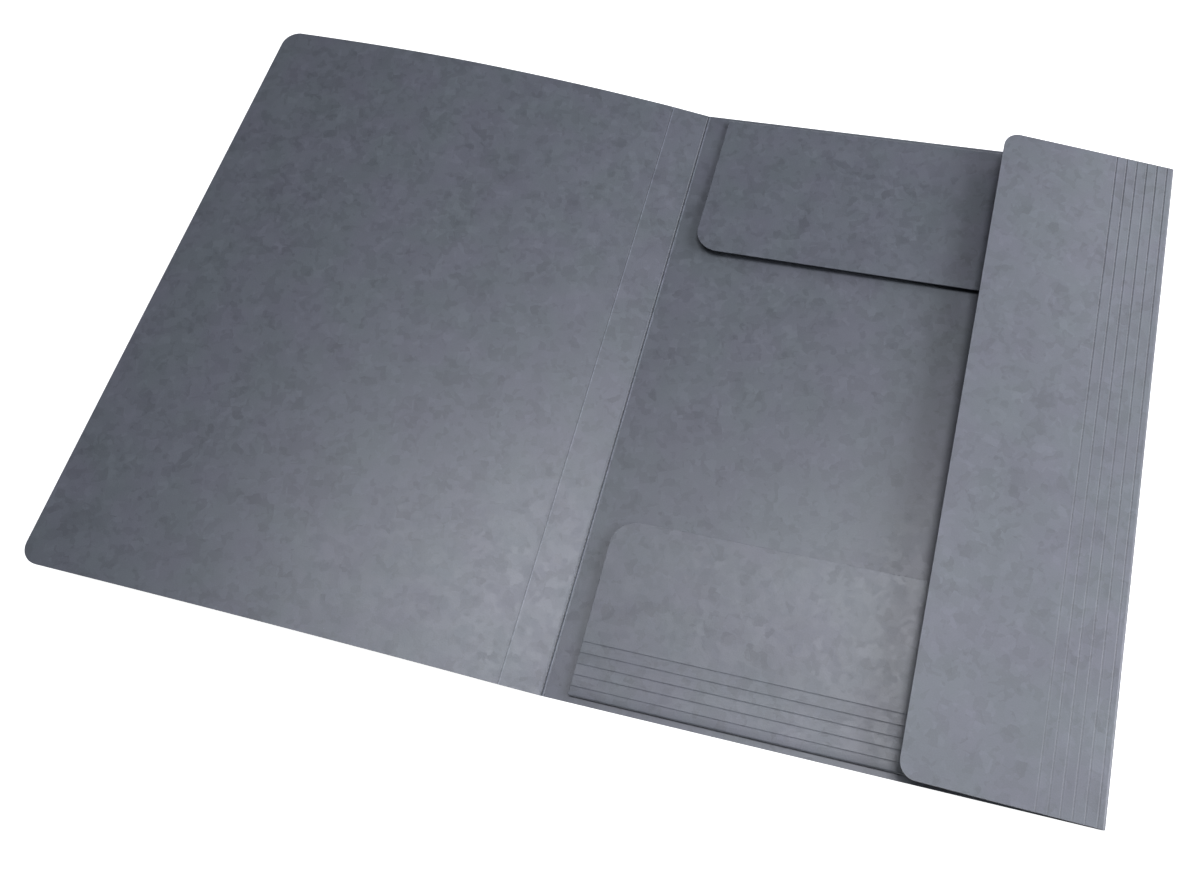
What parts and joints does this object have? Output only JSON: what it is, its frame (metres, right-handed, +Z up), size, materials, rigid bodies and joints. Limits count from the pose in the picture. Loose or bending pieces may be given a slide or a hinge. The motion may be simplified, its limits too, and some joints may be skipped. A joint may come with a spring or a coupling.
{
  "type": "three flap folder",
  "caption": "Pressed card document folder lying open, with a hinged front cover and spine, a hinged side flap and two folded-in inner flaps.",
  "frame": {"origin": "centre of the back panel's underside, on the table", "axes": "+Z up out of the open folder, +X across the back panel from the spine to the side fold, +Y towards the top edge"},
  "size_m": [0.483, 0.32, 0.042],
  "materials": {
    "card": "mottled slate blue-grey pressed card, satin"
  },
  "bodies": {
    "back": {"back_panel": "card", "top_flap": "card", "bottom_flap": "card"},
    "spine": {"spine": "card"},
    "cover": {"front_cover": "card"},
    "side_flap": {"side_flap": "card"}
  },
  "joints": [
    {"name": "spine_crease", "type": "hinge", "parent": "back", "child": "spine", "pos_m": [-0.12, 0, 0.0005], "axis": [0, 1, 0], "range_deg": [-7, 77]},
    {"name": "cover_crease", "type": "hinge", "parent": "spine", "child": "cover", "pos_m": [-0.13949, 0, 0.005], "axis": [0, 1, 0], "range_deg": [0, 90]},
    {"name": "side_fold", "type": "hinge", "parent": "back", "child": "side_flap", "pos_m": [0.12, 0, 0.0015], "axis": [0, 1, 0], "range_deg": [0, 170]}
  ]
}
